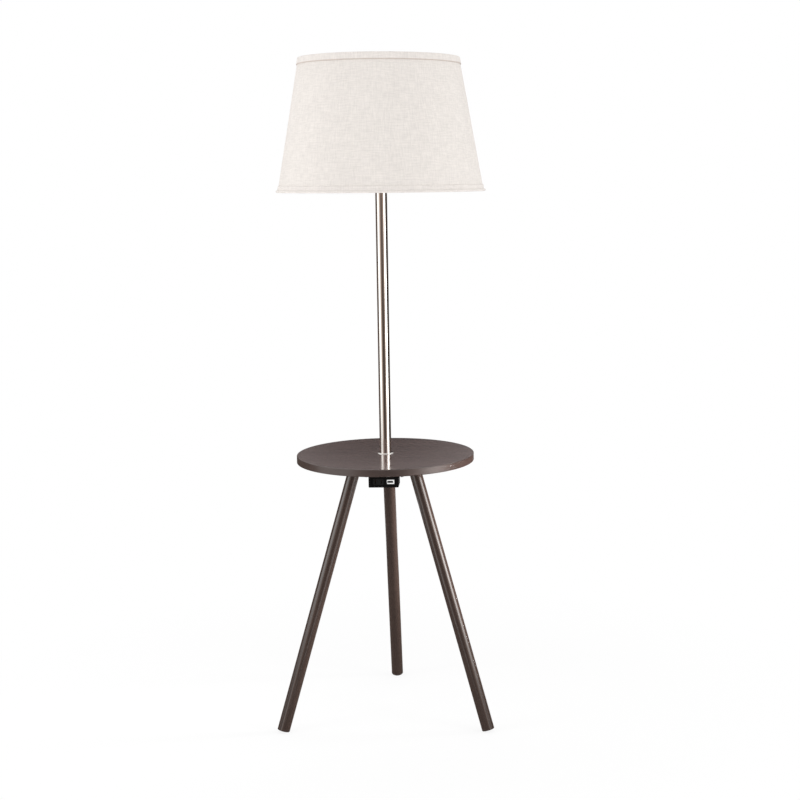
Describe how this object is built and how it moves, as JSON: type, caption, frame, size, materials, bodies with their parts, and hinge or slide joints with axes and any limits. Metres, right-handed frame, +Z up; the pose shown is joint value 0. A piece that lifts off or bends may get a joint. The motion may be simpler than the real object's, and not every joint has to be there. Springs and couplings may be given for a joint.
{
  "type": "floor lamp with table",
  "caption": "Floor lamp on splayed round wooden legs, with a round wooden table top, metal pole, tapered drum shade and a small power outlet under the table edge.",
  "frame": {"origin": "on the floor, on the pole's axis", "axes": "+Z up along the pole, -Y towards the power outlet at the front, +X to the right seen from the front"},
  "size_m": [0.479, 0.5039, 1.4735],
  "materials": {
    "table_wood": "grey-brown stained wood veneer, semi-gloss lacquer",
    "edge_wood": "dark grey-brown stained edge band, semi-gloss lacquer",
    "leg_wood": "dark grey-brown stained round wood, semi-gloss lacquer",
    "satin_nickel": "satin nickel plated steel",
    "zinc_steel": "zinc plated steel",
    "brass": "plain brass",
    "nickel_bright": "nickel plated",
    "white_paint": "white enamel on steel wire",
    "linen": "off-white oatmeal linen with slubs",
    "linen_tape": "off-white linen binding tape",
    "shade_lining": "stiff white lampshade lining",
    "bulb_glass": "frosted white glass",
    "black_plastic": "fine-grained black plastic",
    "white_plastic": "white plastic",
    "fibre": "pressed fibre sleeve",
    "wire_jacket": "wire jacket",
    "circuit_board": "green circuit board"
  },
  "bodies": {
    "stand": {"table_top": "table_wood", "table_band": "edge_wood", "leg_left": "leg_wood", "leg_right": "leg_wood", "leg_back": "leg_wood", "leg_plate_left": "zinc_steel", "leg_plate_right": "zinc_steel", "leg_plate_back": "zinc_steel", "leg_bolts": "zinc_steel", "plate_screws": "zinc_steel", "pole_flange": "satin_nickel", "pole": "satin_nickel", "pole_cap": "satin_nickel", "tie_rod": "zinc_steel", "clamp_washer": "zinc_steel", "lock_washer": "zinc_steel", "tie_nut": "zinc_steel", "rod_bushing": "black_plastic", "lamp_wire": "wire_jacket", "saddle": "brass", "socket_cap": "brass", "socket_shell": "brass", "socket_sleeve": "fibre", "switch_block": "black_plastic", "screw_shell": "brass", "center_contact": "brass", "harp": "nickel_bright", "harp_stud": "brass", "power_housing": "black_plastic", "power_cover": "black_plastic", "plug_insert": "black_plastic", "plug_contacts": "brass", "port_frame": "white_plastic", "port_tongue": "black_plastic", "power_board": "circuit_board", "power_inlet": "black_plastic", "power_screws": "zinc_steel"},
    "shade": {"shade_fitter": "white_paint", "shade_ring": "white_paint", "shade_fabric": "linen", "shade_liner": "shade_lining", "shade_trim_top": "linen_tape", "shade_trim_bottom": "linen_tape"},
    "finial": {"finial": "satin_nickel"},
    "bulb": {"bulb_base": "nickel_bright", "bulb_glass": "bulb_glass"},
    "switch_knob": {"switch_knob": "black_plastic"},
    "ferrule_left": {"ferrule_left": "brass"},
    "ferrule_right": {"ferrule_right": "brass"}
  },
  "joints": [
    {"name": "shade_swivel", "type": "hinge", "parent": "stand", "child": "shade", "pos_m": [0, 0, 1.448], "axis": [0, 0, 1], "continuous": true},
    {"name": "finial_turn", "type": "hinge", "parent": "stand", "child": "finial", "pos_m": [0, 0, 1.455], "axis": [0, 0, 1], "continuous": true},
    {"name": "bulb_turn", "type": "hinge", "parent": "stand", "child": "bulb", "pos_m": [0, 0, 1.25], "axis": [0, 0, 1], "continuous": true},
    {"name": "switch_turn", "type": "hinge", "parent": "stand", "child": "switch_knob", "pos_m": [0, -0.02, 1.2248], "axis": [0, -1, 0], "continuous": true},
    {"name": "ferrule_left_slide", "type": "slide", "parent": "stand", "child": "ferrule_left", "axis": [0, 0, 1], "range_m": [0, 0.016]},
    {"name": "ferrule_right_slide", "type": "slide", "parent": "stand", "child": "ferrule_right", "axis": [0, 0, 1], "range_m": [0, 0.016]}
  ]
}
